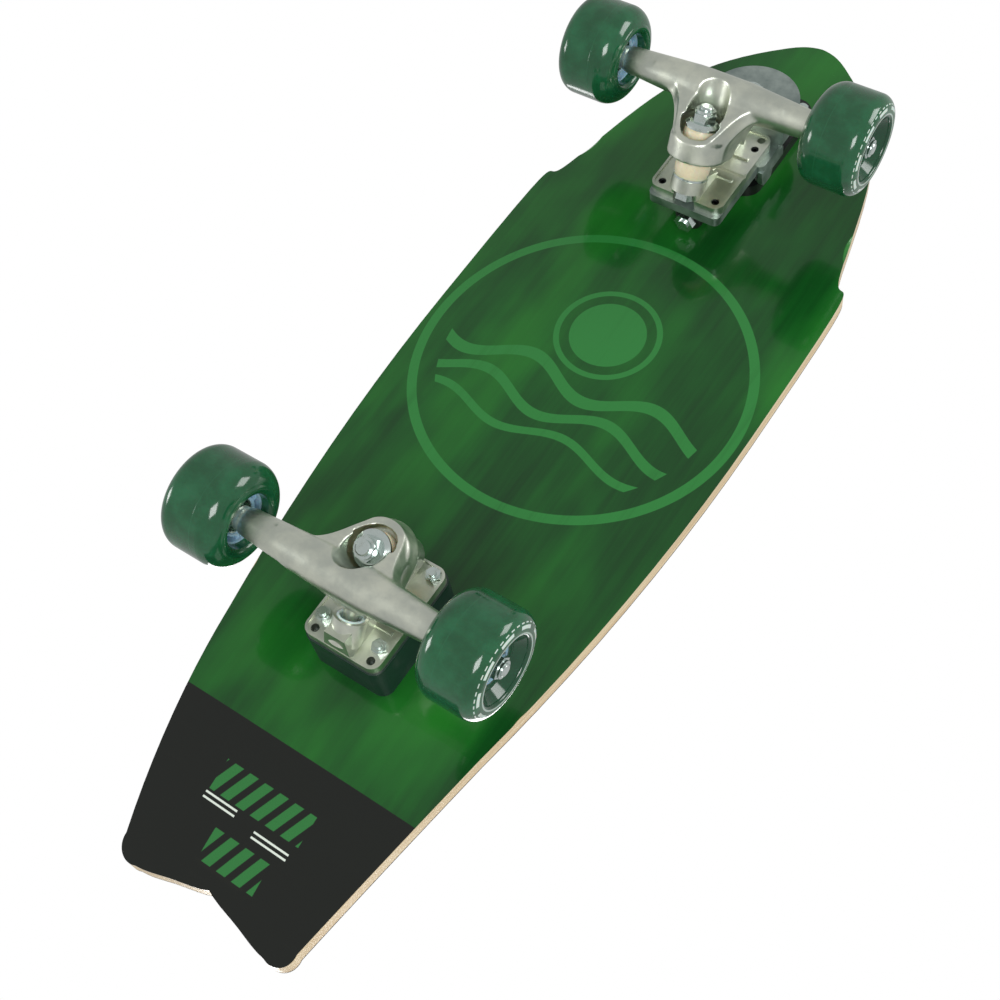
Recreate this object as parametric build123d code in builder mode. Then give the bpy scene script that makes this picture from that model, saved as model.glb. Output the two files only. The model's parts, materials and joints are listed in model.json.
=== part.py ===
from build123d import *
import os
from math import cos, radians, sin

# A surf-style cruiser skateboard, standing on its wheels.
# Millimetres; +Z up, nose towards -Y, origin on the floor under the middle of the deck.
# Each truck has a frame of its own: y runs outwards to its pivot end, z away from the deck.

# ---- deck ----
DECK_LENGTH = 753.0
DECK_UNDERSIDE = 121.5          # height of the deck's underside above the floor
VENEER = 1.5                    # each outer ply
CORE = 8.0                      # the cross-laminated plies between them
GRIP = 1.0
CONCAVE = 4.0                   # rise of the edges at the widest place
CONCAVE_HALF_WIDTH = 120.0
FLAT_HALF_WIDTH = 34.0          # the middle strip, flat under the feet and over the trucks
KICK_START = 223.0              # where the tail starts to rise
KICK_RADIUS = 442.0
TAIL_HALF_WIDTH = 62.0
NOTCH_DEPTH = 13.5
WELL_RADIUS = 58.0              # spherical scoop over each wheel
WELL_DROP = 38.0
WELL_X = 143.0

# ---- wheels and axles ----
WHEEL_RADIUS = 33.5
WHEEL_IN = 68.0                 # inner face, from the centre line
WHEEL_OUT = 110.5
TREAD_IN = 80.0                 # where the tread meets the inner lip
OUTER_LIP = 9.0
CORE_IN = 75.0
CORE_RADIUS = 17.0
HUB_RADIUS = 12.8
RIBS = 6
AXLE_RADIUS = 4.0
AXLE_END = 109.5
BEARING_IN = 77.3               # inner face of the inner bearing
BEARING_WIDTH = 7.0
BEARING_RADIUS = 11.0
SPACER = 10.0
WASHER = 1.0
NUT_HEIGHT = 6.0

# ---- trucks ----
REAR_TRUCK_Y = 177.0            # centres of the two bolt patterns
FRONT_TRUCK_Y = -207.0
TRUCK_DROP = 30.0               # from the deck's underside to the baseplate
BOLT_X = 41.275
BOLT_Y = 53.975
EXTRA_BOLT_Y = 36.0             # the second pair of holes at the pivot end
PLATE_WIDTH = 55.0
PLATE_INNER = 34.0
PLATE_OUTER = 41.5
PLATE_THICK = 6.0
AXLE_OUTWARD = 16.4             # axle, from the middle of the bolt pattern
AXLE_DROP = DECK_UNDERSIDE - TRUCK_DROP - WHEEL_RADIUS
RING_OUTWARD = -15.4            # centre of the kingpin ring
RING_DROP = 36.5
KINGPIN_LEAN = 27.0             # from upright, towards the pivot end
PIVOT_REACH = 48.4              # from the ring's centre to the pivot ball
CUP_LEAN = -40.0
BALL = 6.0
RING_HALF = 5.25
SEAT = -20.2                    # the lower bushing's seat, along the kingpin from the ring's centre
KINGPIN_RADIUS = 4.75
HANGER_END = 71.0
BOSS_END = BEARING_IN - WASHER

# ---- swinging adapter under the front truck ----
SWING_Y = -264.5
BASE_THICK = 9.0
BOSS_TOP = 29.0
NOSE_FACE = 45.0
NOSE_UNDER = 33.0
BED_UNDER = 23.0
BASE_BOLTS = 13.0               # pattern centre, towards the nose from the pivot
ROLLER_RADIUS = 10.5
ROLLER_DROP = 10.8
POST_Y = -32.0
CHEEK_X = 28.0

BOLT_RADIUS = 2.4
BOLT_HOLE = 2.7

os.makedirs("parts", exist_ok=True)


def write(piece, name):
    """Label a finished piece and write its STEP file."""
    piece.part.label = name
    export_step(piece.part, f"parts/{name}.step")


def side_plane(frame, x=0.0):
    """A plane for side profiles: its axes are the frame's y and z."""
    return Plane(origin=frame.from_local_coords(Vector(x, 0, 0)), x_dir=frame.y_dir, z_dir=frame.x_dir)


def leaning(frame, y, z, angle):
    """The frame moved to (y, z) and leaned by an angle, from its z towards its y."""
    lean = radians(angle)
    return Plane(
        origin=frame.from_local_coords(Vector(0, y, z)),
        x_dir=frame.x_dir,
        z_dir=frame.z_dir * cos(lean) + frame.y_dir * sin(lean),
    )


def disc(frame, radius, low, high, mode=Mode.ADD):
    """A round disc about the frame's z axis, inside the open part."""
    with BuildSketch(frame.offset(low)) as section:
        Circle(radius)
    extrude(section.sketch, amount=high - low, mode=mode)


def tube(frame, outer, inner, low, high):
    """A round tube about the frame's z axis, inside the open part."""
    with BuildSketch(frame.offset(low)) as section:
        Circle(outer)
        Circle(inner, mode=Mode.SUBTRACT)
    extrude(section.sketch, amount=high - low)


def hexagon(frame, across_flats, low, high, mode=Mode.ADD):
    """A hexagonal prism about the frame's z axis, inside the open part."""
    with BuildSketch(frame.offset(low)) as section:
        RegularPolygon(across_flats / 2, 6, major_radius=False)
    extrude(section.sketch, amount=high - low, mode=mode)


# ================= deck =================

def deck_outline():
    """The deck's outline: pointed nose, wide middle and a swallow tail."""
    nose = -DECK_LENGTH / 2
    tail = DECK_LENGTH / 2
    with BuildSketch(Plane.XY.offset(DECK_UNDERSIDE - 10)) as outline:
        with BuildLine():
            Spline(
                (0, nose), (26, nose + 12), (61, nose + 46), (88, nose + 97), (112, nose + 190),
                (121.8, nose + 327),
                tangents=((1, 0.08), (-0.008, 1)),
            )
            ThreePointArc((121.8, nose + 327), (113, nose + 481), (96, nose + 597))
            ThreePointArc((96, nose + 597), (84, nose + 663), (TAIL_HALF_WIDTH + 4, tail - 13))
            ThreePointArc((TAIL_HALF_WIDTH + 4, tail - 13), (TAIL_HALF_WIDTH - 1, tail - 2.2), (50, tail - 1))
            Spline(
                (50, tail - 1), (26, tail - 6.5), (0, tail - NOTCH_DEPTH),
                tangents=((-1, -0.08), (-1, -0.45)),
            )
            Line((0, tail - NOTCH_DEPTH), (0, nose))
        make_face()
        mirror(about=Plane.YZ)
    return outline.sketch


def ply(bottom, top):
    """One layer of the deck between two heights over its underside, inside the open part."""
    start = -DECK_LENGTH / 2 - 5
    reach = 130.0
    flat = FLAT_HALF_WIDTH
    rise = CONCAVE * ((reach - flat) / (CONCAVE_HALF_WIDTH - flat)) ** 2
    low, high = DECK_UNDERSIDE + bottom, DECK_UNDERSIDE + top
    with BuildLine(Plane.YZ) as rail:
        run = Line((start, DECK_UNDERSIDE), (KICK_START, DECK_UNDERSIDE))
        JernArc(start=run @ 1, tangent=run % 1, radius=KICK_RADIUS, arc_size=22)
    with BuildSketch(Plane.XZ.offset(-start)) as section:
        with BuildLine():
            Line((-flat, low), (flat, low))
            TangentArc((flat, low), (reach, low + rise), tangent=(1, 0))
            Line((reach, low + rise), (reach, high + rise))
            TangentArc((flat, high), (reach, high + rise), tangent=(1, 0))
            Line((flat, high), (-flat, high))
            TangentArc((-flat, high), (-reach, high + rise), tangent=(-1, 0))
            Line((-reach, high + rise), (-reach, low + rise))
            TangentArc((-flat, low), (-reach, low + rise), tangent=(-1, 0))
        make_face()
    sweep(section.sketch, path=rail.line)
    extrude(deck_outline(), amount=80, mode=Mode.INTERSECT)


def deck_bolt_places():
    """The eight bolt positions through the deck."""
    centres = [SWING_Y - BASE_BOLTS, REAR_TRUCK_Y]
    return [(x, y + dy) for y in centres for x in (-BOLT_X / 2, BOLT_X / 2) for dy in (-BOLT_Y / 2, BOLT_Y / 2)]


def drill(radius, low, high):
    """Cut the eight bolt holes between two heights over the deck's underside."""
    with BuildSketch(Plane.XY.offset(DECK_UNDERSIDE + low)) as holes:
        with Locations(*deck_bolt_places()):
            Circle(radius)
    extrude(holes.sketch, amount=high - low, mode=Mode.SUBTRACT)


def scoop_wells():
    """Cut the four shallow wheel wells into the open layer's lower edges."""
    for y in (FRONT_TRUCK_Y - AXLE_OUTWARD, REAR_TRUCK_Y + AXLE_OUTWARD):
        with Locations((WELL_X, y, DECK_UNDERSIDE - WELL_DROP), (-WELL_X, y, DECK_UNDERSIDE - WELL_DROP)):
            Sphere(WELL_RADIUS, mode=Mode.SUBTRACT)


CORE_TOP = VENEER + CORE
DECK_TOP = CORE_TOP + VENEER
HEAD_RADIUS = 4.75
HEAD_CONE = 3.0

with BuildPart() as bottom_veneer:
    ply(0, VENEER)
    scoop_wells()
    drill(BOLT_HOLE, -1, CORE)
write(bottom_veneer, "deck_bottom_veneer")

with BuildPart() as deck_core:
    ply(VENEER, CORE_TOP)
    scoop_wells()
    drill(BOLT_HOLE, -1, DECK_TOP)
write(deck_core, "deck_core")

with BuildPart() as top_veneer:
    ply(CORE_TOP, DECK_TOP)
    drill(HEAD_RADIUS + 0.2, CORE, DECK_TOP + 1)
write(top_veneer, "deck_top_veneer")

with BuildPart() as grip_tape:
    ply(DECK_TOP, DECK_TOP + GRIP)
    drill(HEAD_RADIUS + 0.2, CORE, DECK_TOP + 2)
write(grip_tape, "grip_tape")


# ================= fasteners through the deck =================

def deck_bolts(centre_y, end):
    """Four countersunk bolts from the top of the deck down to a height."""
    head_top = DECK_UNDERSIDE + DECK_TOP + GRIP
    cone_top = head_top - 0.6
    with BuildPart() as bolts:
        with Locations((0, centre_y)):
            with GridLocations(BOLT_X, BOLT_Y, 2, 2):
                with Locations((0, 0, cone_top + 0.3)):
                    Cylinder(HEAD_RADIUS, 0.6)
                with Locations((0, 0, cone_top - 0.95)):
                    Cone(BOLT_RADIUS, HEAD_RADIUS, 1.9)
                with Locations((0, 0, (cone_top - 1.9 + end) / 2)):
                    Cylinder(BOLT_RADIUS, cone_top - 1.9 - end)
                with Locations((0, 0, head_top - 0.6)):
                    Box(6.0, 1.1, 1.2, mode=Mode.SUBTRACT)
                    Box(1.1, 6.0, 1.2, mode=Mode.SUBTRACT)
    return bolts


def locknuts(centre_y, seat):
    """Four nuts hanging under a seat, each with a collar at its free end."""
    nut = Plane(origin=(0, centre_y, seat), x_dir=(1, 0, 0), z_dir=(0, 0, -1))
    with BuildPart() as nuts:
        with BuildSketch(nut):
            with GridLocations(BOLT_X, BOLT_Y, 2, 2):
                RegularPolygon(4.4, 6, major_radius=False)
        extrude(amount=3.6)
        with BuildSketch(nut.offset(3.6)):
            with GridLocations(BOLT_X, BOLT_Y, 2, 2):
                Circle(4.0)
        extrude(amount=1.4)
        with BuildSketch(nut):
            with GridLocations(BOLT_X, BOLT_Y, 2, 2):
                Circle(BOLT_RADIUS + 0.02)
        extrude(amount=6, mode=Mode.SUBTRACT)
    return nuts


# ================= trucks =================

def baseplate(frame):
    """Cast baseplate with a tapered block at each end, six holes and a raised rim."""
    kingpin = leaning(frame, RING_OUTWARD, RING_DROP, KINGPIN_LEAN)
    cup = pivot_cup_frame(frame)
    middle = (PLATE_OUTER - PLATE_INNER) / 2
    length = PLATE_OUTER + PLATE_INNER
    rim = 1.6
    with BuildPart() as plate:
        with BuildSketch(frame):
            with Locations((0, middle)):
                RectangleRounded(PLATE_WIDTH, length, 7)
        extrude(amount=PLATE_THICK)
        with BuildSketch(frame.offset(PLATE_THICK)):
            with Locations((0, middle)):
                RectangleRounded(PLATE_WIDTH, length, 7)
                RectangleRounded(PLATE_WIDTH - 2 * rim, length - 2 * rim, 7 - rim, mode=Mode.SUBTRACT)
        extrude(amount=1.1)
        with BuildSketch(frame.offset(PLATE_THICK - 1)):
            with Locations((0, 28)):
                Rectangle(20, 27)
        extrude(amount=16, taper=9)
        with BuildSketch(frame.offset(PLATE_THICK - 1)):
            with Locations((0, -PLATE_INNER + 15)):
                Rectangle(20, 30)
        extrude(amount=22, taper=8)
        with BuildSketch(frame.offset(PLATE_THICK - 1)):
            Rectangle(12, 40)
        extrude(amount=5, taper=12)
        with BuildSketch(frame.offset(PLATE_THICK - 1)):
            with Locations((0, 16), (0, -6)):
                Rectangle(44, 3)
        extrude(amount=2.6, taper=12)
        disc(kingpin, 12, SEAT - 9, SEAT)
        disc(cup, 10.4, -9, 7.4)
        with BuildSketch(kingpin.offset(SEAT)):
            Rectangle(60, 60)
        extrude(amount=30, mode=Mode.SUBTRACT)
        disc(kingpin, 8.4, SEAT - 30, SEAT - 10, Mode.SUBTRACT)
        disc(kingpin, KINGPIN_RADIUS + 0.05, SEAT - 12, SEAT + 1, Mode.SUBTRACT)
        disc(cup, 8.5, -8, 26, Mode.SUBTRACT)
        with BuildSketch(frame.offset(-20)):
            Rectangle(120, 120)
        extrude(amount=20, mode=Mode.SUBTRACT)
        with BuildSketch(frame.offset(-1)):
            with GridLocations(BOLT_X, BOLT_Y, 2, 2):
                Circle(BOLT_HOLE)
            with Locations((BOLT_X / 2, EXTRA_BOLT_Y), (-BOLT_X / 2, EXTRA_BOLT_Y)):
                Circle(BOLT_HOLE)
        extrude(amount=PLATE_THICK + 4, mode=Mode.SUBTRACT)
    return plate


def pivot_cup_frame(frame):
    """Frame of the pivot cup: its origin is the ball's centre, its z leads out of the mouth."""
    reach = radians(KINGPIN_LEAN)
    outward = RING_OUTWARD + PIVOT_REACH * cos(reach)
    drop = RING_DROP - PIVOT_REACH * sin(reach)
    return leaning(frame, outward, drop, CUP_LEAN)


def pivot_cup(frame):
    """Soft cup with a round seat for the pivot ball and a flared mouth."""
    cup = pivot_cup_frame(frame)
    with BuildPart() as piece:
        with BuildSketch(side_plane(cup)):
            with BuildLine():
                Polyline((0, -8), (8.48, -8), (8.48, 7.2), (7.6, 8), (6.9, 8), (BALL + 0.05, 4), (BALL + 0.05, 0))
                ThreePointArc(
                    (BALL + 0.05, 0),
                    ((BALL + 0.05) * cos(radians(45)), -(BALL + 0.05) * sin(radians(45))),
                    (0, -BALL - 0.05),
                )
                Line((0, -BALL - 0.05), (0, -8))
            make_face()
        revolve(axis=Axis(cup.origin, cup.z_dir))
    return piece


def hanger(frame):
    """Cast hanger: tapered axle tube, kingpin yoke and pivot nose."""
    kingpin = leaning(frame, RING_OUTWARD, RING_DROP, KINGPIN_LEAN)
    cup = pivot_cup_frame(frame)
    axle = axle_frame(frame, 1)
    centre = kingpin.to_local_coords(axle.origin)
    middle_radius = 12.6
    end_radius = 8.9
    boss_radius = 7.8
    with BuildPart() as piece:
        with BuildSketch(side_plane(kingpin)):
            Polygon(
                (-19, -RING_HALF), (16, -RING_HALF), (24, 5), (31.9, -0.5), (37.3, 12.3),
                (centre.Y + 11, centre.Z + 5), (centre.Y - 8, centre.Z + 8), (centre.Y - 12, centre.Z), (-13, 12),
                (-19, 9), align=None,
            )
        extrude(amount=48, both=True)
        with BuildSketch(kingpin.offset(-20)):
            with BuildLine():
                Spline((0, -19.5), (19.2, -3), (25, 4.5), (48, 9), tangents=((1, 0), (1, 0.05)))
                Line((48, 9), (48, 27))
                Spline((48, 27), (30, 31), (13, 35), (7.5, 42), tangents=((-1, 0.1), (-0.2, 1)))
                Polyline((7.5, 42), (0, 42), (0, -19.5))
            make_face()
            mirror(about=Plane(origin=(0, 0, 0), z_dir=(1, 0, 0)))
        extrude(amount=90, mode=Mode.INTERSECT)
        with BuildSketch(Plane(origin=kingpin.origin, x_dir=kingpin.x_dir, z_dir=-kingpin.y_dir)):
            with BuildLine():
                Line((0, -8), (20, -8))
                Spline((20, -8), (20.4, 8), (26, 20), (50, centre.Z - 3), tangents=((0, 1), (1, 0.12)))
                Polyline((50, centre.Z - 3), (50, 70), (0, 70), (0, -8))
            make_face()
            mirror(about=Plane(origin=(0, 0, 0), z_dir=(1, 0, 0)))
        extrude(amount=90, both=True, mode=Mode.INTERSECT)
        disc(kingpin, 19.5, -RING_HALF, 9)
        with BuildSketch(Plane(origin=axle.origin, x_dir=frame.x_dir, z_dir=-frame.y_dir)):
            with BuildLine():
                Polyline(
                    (-BOSS_END, 0), (-BOSS_END, boss_radius), (-HANGER_END, boss_radius), (-HANGER_END, end_radius),
                    (-18, middle_radius), (18, middle_radius), (HANGER_END, end_radius),
                    (HANGER_END, boss_radius), (BOSS_END, boss_radius), (BOSS_END, 0), (-BOSS_END, 0),
                )
            make_face()
        revolve(axis=Axis(axle.origin, frame.x_dir))
        with BuildSketch(side_plane(cup)):
            Polygon((0, 2), (4.8, 2), (4.8, 8), (6.6, 17), (0, 17), align=None)
        revolve(axis=Axis(cup.origin, cup.z_dir))
        with Locations(cup.origin):
            Sphere(BALL)
        disc(kingpin, 14.8, RING_HALF, 21, Mode.SUBTRACT)
        disc(kingpin, 12.8, 20, 70, Mode.SUBTRACT)
        disc(kingpin, 7, -20, 20, Mode.SUBTRACT)
        disc(axle, AXLE_RADIUS + 0.02, -130, 130, Mode.SUBTRACT)
    return piece


def axle_frame(frame, side):
    """Frame on the axle at the centre line, its z leading out through one wheel."""
    return Plane(
        origin=frame.from_local_coords(Vector(0, AXLE_OUTWARD, AXLE_DROP)),
        x_dir=frame.y_dir,
        z_dir=frame.x_dir * side,
    )


def kingpin_bolt(frame):
    """Kingpin with its hexagonal head held in the baseplate's pocket."""
    kingpin = leaning(frame, RING_OUTWARD, RING_DROP, KINGPIN_LEAN)
    with BuildPart() as piece:
        hexagon(kingpin, 14.2, SEAT - 15.5, SEAT - 10)
        disc(kingpin, KINGPIN_RADIUS, SEAT - 10, 29.3)
        chamfer(piece.edges().filter_by(GeomType.CIRCLE).sort_by(Axis(kingpin.origin, kingpin.z_dir))[-1], 0.8)
    return piece


def kingpin_nut(frame):
    """Lock nut at the kingpin's free end."""
    kingpin = leaning(frame, RING_OUTWARD, RING_DROP, KINGPIN_LEAN)
    with BuildPart() as piece:
        hexagon(kingpin, 14.2, 18.8, 24.6)
        disc(kingpin, 6.6, 24.6, 27)
        disc(kingpin, KINGPIN_RADIUS + 0.02, 18, 28, Mode.SUBTRACT)
    return piece


def bushing(frame, low, high, wide, narrow):
    """Urethane bushing about the kingpin, tapering from one end to the other."""
    kingpin = leaning(frame, RING_OUTWARD, RING_DROP, KINGPIN_LEAN)
    bore = KINGPIN_RADIUS + 0.1
    bulge = (wide + narrow) / 2 + 0.7
    with BuildPart() as piece:
        with BuildSketch(side_plane(kingpin)):
            with BuildLine():
                Line((bore, low), (wide - 0.6, low))
                ThreePointArc((wide - 0.6, low), (bulge, (low + high) / 2), (narrow - 0.6, high))
                Polyline((narrow - 0.6, high), (bore, high), (bore, low))
            make_face()
        revolve(axis=Axis(kingpin.origin, kingpin.z_dir))
    return piece


def kingpin_washers(frame):
    """Flat washer on the baseplate's seat and cup washer under the nut."""
    kingpin = leaning(frame, RING_OUTWARD, RING_DROP, KINGPIN_LEAN)
    bore = KINGPIN_RADIUS + 0.1
    with BuildPart() as piece:
        tube(kingpin, 11.8, bore, SEAT, SEAT + 1.5)
        with BuildSketch(side_plane(kingpin)):
            Polygon((bore, 16.4), (11.2, 16.4), (11.2, 15.4), (11.9, 15.4), (11.9, 17), (9, 18.8), (bore, 18.8),
                    align=None)
        revolve(axis=Axis(kingpin.origin, kingpin.z_dir))
    return piece


def axle(frame):
    """One steel rod through the hanger, with chamfered ends."""
    line = axle_frame(frame, 1)
    with BuildPart() as piece:
        disc(line, AXLE_RADIUS, -AXLE_END, AXLE_END)
        chamfer(piece.edges().filter_by(GeomType.CIRCLE), 0.6)
    return piece


def both_sides(frame, outer, inner, spans):
    """Rings about the axle, one for each span of distances, on both sides."""
    with BuildPart() as piece:
        for side in (-1, 1):
            for low, high in spans:
                tube(axle_frame(frame, side), outer, inner, low, high)
    return piece


def axle_nuts(frame):
    """The two axle lock nuts."""
    low = WHEEL_NUT
    with BuildPart() as piece:
        for side in (-1, 1):
            line = axle_frame(frame, side)
            hexagon(line, 12.8, low, low + NUT_HEIGHT - 1.6)
            disc(line, 5.6, low + NUT_HEIGHT - 1.6, low + NUT_HEIGHT)
            disc(line, AXLE_RADIUS + 0.02, low - 1, low + NUT_HEIGHT + 1, Mode.SUBTRACT)
    return piece


BEARING_SPANS = [
    (BEARING_IN, BEARING_IN + BEARING_WIDTH),
    (BEARING_IN + BEARING_WIDTH + SPACER, BEARING_IN + 2 * BEARING_WIDTH + SPACER),
]
WHEEL_NUT = BEARING_SPANS[1][1] + WASHER
CORE_OUT = BEARING_SPANS[1][1] + 0.5


# ================= wheels =================

def wheel_section(frame, side, points):
    """Revolve a closed outline of (distance out, radius) about the axle."""
    line = axle_frame(frame, side)
    with BuildPart() as piece:
        with BuildSketch(Plane(origin=line.origin, x_dir=line.z_dir, z_dir=line.y_dir)):
            Polygon(*points, align=None)
        revolve(axis=Axis(line.origin, line.z_dir))
    return piece


def tyre(frame, side):
    """Urethane tyre with a long rounded inner lip, an open recess and a dished outer face."""
    line = axle_frame(frame, side)
    shoulder = WHEEL_RADIUS - 4
    with BuildPart() as piece:
        with BuildSketch(Plane(origin=line.origin, x_dir=line.z_dir, z_dir=line.y_dir)):
            with BuildLine():
                Line((CORE_IN, CORE_RADIUS), (WHEEL_IN + 2, CORE_RADIUS + 0.6))
                ThreePointArc((WHEEL_IN + 2, CORE_RADIUS + 0.6), (WHEEL_IN, CORE_RADIUS + 3), (WHEEL_IN + 0.8, 24))
                ThreePointArc((WHEEL_IN + 0.8, 24), (WHEEL_IN + 3.8, shoulder), (TREAD_IN, WHEEL_RADIUS))
                Line((TREAD_IN, WHEEL_RADIUS), (WHEEL_OUT - OUTER_LIP, WHEEL_RADIUS))
                ThreePointArc(
                    (WHEEL_OUT - OUTER_LIP, WHEEL_RADIUS), (WHEEL_OUT - 2.2, WHEEL_RADIUS - 3.2),
                    (WHEEL_OUT, 23.5),
                )
                ThreePointArc((WHEEL_OUT, 23.5), (WHEEL_OUT - 0.4, 21.8), (WHEEL_OUT - 2, 21))
                Polyline(
                    (WHEEL_OUT - 2, 21), (CORE_OUT + 1, 17), (CORE_OUT, 13), (CORE_OUT, CORE_RADIUS),
                    (CORE_IN, CORE_RADIUS),
                )
            make_face()
        revolve(axis=Axis(line.origin, line.z_dir))
    return piece


def wheel_core(frame, side):
    """Moulded core: a hub with a seat for each bearing, a ring, and ribs between them."""
    (inner_low, inner_high), (outer_low, _) = BEARING_SPANS
    hub = [
        (inner_low - 0.8, 11.6), (inner_low - 0.8, HUB_RADIUS), (CORE_IN + 7, HUB_RADIUS), (CORE_IN + 7, 15.2),
        (CORE_IN, 15.6), (CORE_IN, CORE_RADIUS), (CORE_OUT, CORE_RADIUS), (CORE_OUT, BEARING_RADIUS),
        (outer_low, BEARING_RADIUS), (outer_low, 9), (inner_high, 9), (inner_high, BEARING_RADIUS),
        (inner_low, BEARING_RADIUS),
    ]
    core = wheel_section(frame, side, hub)
    rib = axle_frame(frame, side)
    with BuildPart() as piece:
        add(core.part)
        with BuildSketch(rib.offset(CORE_IN + 1.5)):
            with PolarLocations((HUB_RADIUS + 15.4) / 2, RIBS):
                Rectangle(15.4 - HUB_RADIUS + 0.9, 2)
        extrude(amount=6)
    return piece


def bearing_shells(frame, side):
    """Outer rings and shields of the wheel's two bearings."""
    with BuildPart() as piece:
        line = axle_frame(frame, side)
        for low, high in BEARING_SPANS:
            with BuildSketch(Plane(origin=line.origin, x_dir=line.z_dir, z_dir=line.y_dir)):
                Polygon(
                    (low, BEARING_RADIUS), (high, BEARING_RADIUS), (high, 9.2), (high - 0.5, 9.2), (high - 0.5, 5.7),
                    (high - 0.9, 5.7), (high - 0.9, 9), (low + 0.9, 9), (low + 0.9, 5.7), (low + 0.5, 5.7),
                    (low + 0.5, 9.2), (low, 9.2), align=None,
                )
            revolve(axis=Axis(line.origin, line.z_dir))
    return piece


TRUCKS = {
    "front": Plane(origin=(0, FRONT_TRUCK_Y, DECK_UNDERSIDE - TRUCK_DROP), x_dir=(1, 0, 0), z_dir=(0, 0, -1)),
    "rear": Plane(origin=(0, REAR_TRUCK_Y, DECK_UNDERSIDE - TRUCK_DROP), x_dir=(-1, 0, 0), z_dir=(0, 0, -1)),
}

for end, truck in TRUCKS.items():
    write(baseplate(truck), f"{end}_baseplate")
    write(pivot_cup(truck), f"{end}_pivot_cup")
    write(hanger(truck), f"{end}_hanger")
    write(kingpin_bolt(truck), f"{end}_kingpin")
    write(kingpin_nut(truck), f"{end}_kingpin_nut")
    write(kingpin_washers(truck), f"{end}_kingpin_washers")
    write(bushing(truck, SEAT + 1.5, -RING_HALF, 11.6, 11), f"{end}_boardside_bushing")
    write(bushing(truck, RING_HALF, 16.4, 11.2, 10.4), f"{end}_roadside_bushing")
    write(axle(truck), f"{end}_axle")
    write(axle_nuts(truck), f"{end}_axle_nuts")
    washers = [(BOSS_END, BEARING_IN), (WHEEL_NUT - WASHER, WHEEL_NUT)]
    write(both_sides(truck, 5.6, AXLE_RADIUS + 0.1, washers), f"{end}_speed_washers")
    write(both_sides(truck, 5.6, AXLE_RADIUS + 0.02, BEARING_SPANS), f"{end}_bearing_inner_rings")
    spacer = [(BEARING_SPANS[0][1], BEARING_SPANS[1][0])]
    write(both_sides(truck, 5.6, AXLE_RADIUS + 0.1, spacer), f"{end}_bearing_spacers")
    for hand, x_sign in (("left", 1), ("right", -1)):
        side = x_sign if end == "front" else -x_sign
        write(tyre(truck, side), f"{end}_{hand}_tyre")
        write(wheel_core(truck, side), f"{end}_{hand}_wheel_core")
        write(bearing_shells(truck, side), f"{end}_{hand}_bearings")

# ================= rear riser and bolts =================

with BuildPart() as rear_riser:
    with BuildSketch(TRUCKS["rear"].offset(-TRUCK_DROP)):
        with Locations((0, (PLATE_OUTER - PLATE_INNER) / 2)):
            RectangleRounded(PLATE_WIDTH + 2, PLATE_OUTER + PLATE_INNER + 2, 8)
    extrude(amount=TRUCK_DROP)
    with BuildSketch(TRUCKS["rear"].offset(-TRUCK_DROP)):
        with GridLocations(BOLT_X, BOLT_Y, 2, 2):
            Circle(BOLT_HOLE)
    extrude(amount=TRUCK_DROP, mode=Mode.SUBTRACT)
write(rear_riser, "rear_riser")

rear_seat = DECK_UNDERSIDE - TRUCK_DROP - PLATE_THICK
write(deck_bolts(REAR_TRUCK_Y, rear_seat - 6.5), "rear_deck_bolts")
write(locknuts(REAR_TRUCK_Y, rear_seat), "rear_deck_locknuts")

front_seat = DECK_UNDERSIDE - BASE_THICK
write(deck_bolts(SWING_Y - BASE_BOLTS, front_seat - 6.5), "front_deck_bolts")
write(locknuts(SWING_Y - BASE_BOLTS, front_seat), "front_deck_locknuts")

# ================= swinging adapter =================
# Its frame: y towards the nose from the pivot bolt, z away from the deck's underside.

ADAPTER = Plane(origin=(0, SWING_Y, DECK_UNDERSIDE), x_dir=(1, 0, 0), z_dir=(0, 0, -1))
PIVOT_BOLT_RADIUS = 5.0
TRUCK_END = SWING_Y - FRONT_TRUCK_Y + PLATE_OUTER      # the baseplate's outer end, seen from the pivot
ROLLER = Plane(
    origin=ADAPTER.from_local_coords(Vector(0, 0, ROLLER_DROP)), x_dir=(1, 0, 0), z_dir=(0, 1, 0)
)                                                      # its z runs from the pivot towards the tail

with BuildPart() as adapter_base:
    with BuildSketch(ADAPTER):
        with Locations((0, 4)):
            RectangleRounded(54, 94, 12)
    extrude(amount=BASE_THICK)
    disc(ADAPTER, 11.5, BASE_THICK, BOSS_TOP)
    with BuildSketch(ADAPTER.offset(BASE_THICK)):
        with Locations((0, POST_Y)):
            RectangleRounded(10, 10, 2)
    extrude(amount=12.5)
    with BuildSketch(ADAPTER.offset(BASE_THICK)):
        with Locations((0, -19)):
            Rectangle(5, 17)
    extrude(amount=5)
    disc(ADAPTER, 10.2, 0, 6.8, Mode.SUBTRACT)
    disc(ADAPTER, PIVOT_BOLT_RADIUS + 0.05, 0, BOSS_TOP, Mode.SUBTRACT)
    with BuildSketch(ADAPTER):
        with Locations((0, BASE_BOLTS)):
            with GridLocations(BOLT_X, BOLT_Y, 2, 2):
                Circle(BOLT_HOLE)
    extrude(amount=BASE_THICK, mode=Mode.SUBTRACT)
write(adapter_base, "adapter_base")

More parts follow.
